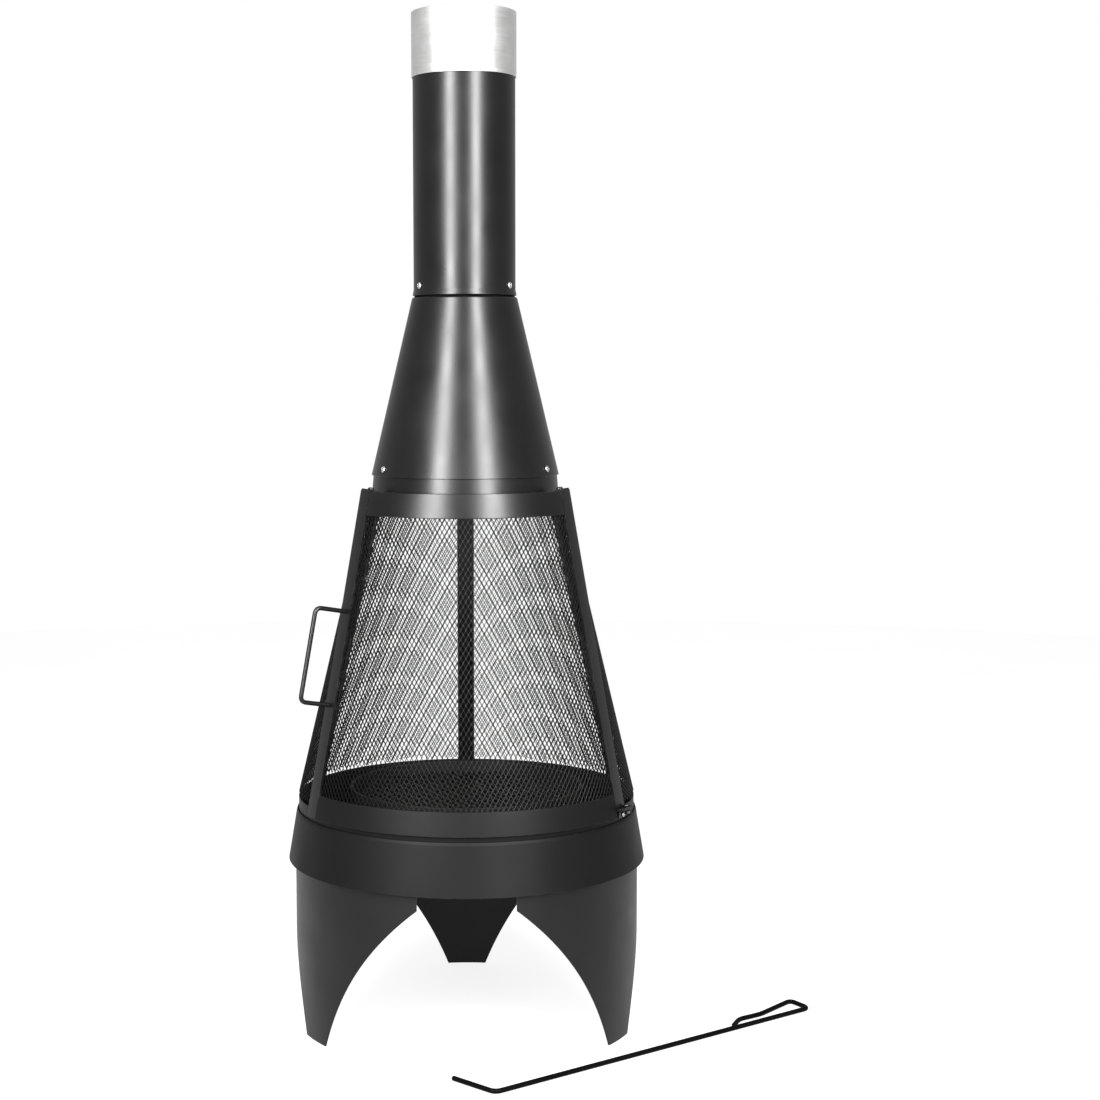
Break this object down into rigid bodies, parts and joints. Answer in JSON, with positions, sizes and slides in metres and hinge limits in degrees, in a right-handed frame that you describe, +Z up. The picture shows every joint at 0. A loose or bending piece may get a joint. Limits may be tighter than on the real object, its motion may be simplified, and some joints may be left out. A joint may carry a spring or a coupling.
{
  "type": "chiminea",
  "caption": "Tall steel mesh chiminea: round fire bowl on curved plate legs, conical mesh chamber with a hinged door, hood, flue and capped top, with log grate and poker.",
  "frame": {"origin": "on the ground, on the axis of the flue and bowl, midway between the three legs", "axes": "+Z up along the flue; -Y towards the door (front); +X to the right seen from the front, the hinge side"},
  "size_m": [0.6586, 0.5161, 1.25],
  "materials": {
    "black_paint": "satin heat-resistant paint",
    "mesh_paint": "satin painted expanded metal",
    "brushed_stainless": "brushed round the ring",
    "zinc_screw": "bright zinc plating",
    "blackened_bolt": "black oxide",
    "grate_black": "matt black paint"
  },
  "bodies": {
    "root": {"flue_cap": "brushed_stainless", "flue_pipe": "black_paint", "hood_cone": "black_paint", "collar": "black_paint", "chamber_mesh": "mesh_paint", "post_left": "black_paint", "post_right": "black_paint", "post_rear": "black_paint", "flue_screw_left": "zinc_screw", "flue_screw_right": "zinc_screw", "flue_screw_rear": "zinc_screw", "hood_screw_left": "zinc_screw", "hood_screw_right": "zinc_screw", "hood_screw_rear": "zinc_screw", "upper_bolt_left": "blackened_bolt", "upper_nut_left": "blackened_bolt", "lower_bolt_left": "zinc_screw", "lower_nut_left": "zinc_screw", "upper_bolt_right": "blackened_bolt", "upper_nut_right": "blackened_bolt", "lower_bolt_right": "zinc_screw", "lower_nut_right": "zinc_screw", "upper_bolt_rear": "blackened_bolt", "upper_nut_rear": "blackened_bolt", "lower_bolt_rear": "zinc_screw", "lower_nut_rear": "zinc_screw", "hinge_bracket_upper": "black_paint", "stop_bracket": "black_paint", "hinge_bracket_lower": "black_paint", "hinge_pin_upper": "blackened_bolt", "hinge_nut_upper": "blackened_bolt", "hinge_pin_lower": "blackened_bolt", "hinge_nut_lower": "blackened_bolt", "fire_bowl": "black_paint", "skirt_ring": "black_paint", "leg_left": "black_paint", "leg_right": "black_paint", "leg_rear": "black_paint", "leg_rivet_left_1": "black_paint", "leg_rivet_left_2": "black_paint", "leg_rivet_right_1": "black_paint", "leg_rivet_right_2": "black_paint", "leg_rivet_rear_1": "black_paint", "leg_rivet_rear_2": "black_paint"},
    "door": {"door_stile_left": "black_paint", "door_stile_right": "black_paint", "door_top_rail": "black_paint", "door_bottom_rail": "black_paint", "door_mesh": "mesh_paint", "door_handle": "black_paint", "stop_screw": "blackened_bolt"},
    "log_grate": {"grate_ring": "grate_black", "grate_mesh": "grate_black", "grate_leg_1": "grate_black", "grate_leg_2": "grate_black", "grate_leg_3": "grate_black"},
    "poker": {"poker": "grate_black"}
  },
  "joints": [
    {"name": "door_hinge", "type": "hinge", "parent": "root", "child": "door", "pos_m": [0.19496, -0.10193, 0.2862], "axis": [-0.2031, 0.1003, 0.974], "range_deg": [0, 90]},
    {"name": "log_grate_lift", "type": "slide", "parent": "root", "child": "log_grate", "axis": [0, 0, 1], "range_m": [0, 0.15]},
    {"name": "poker_lift", "type": "slide", "parent": "root", "child": "poker", "axis": [0, 0, 1], "range_m": [0, 0.15]}
  ]
}
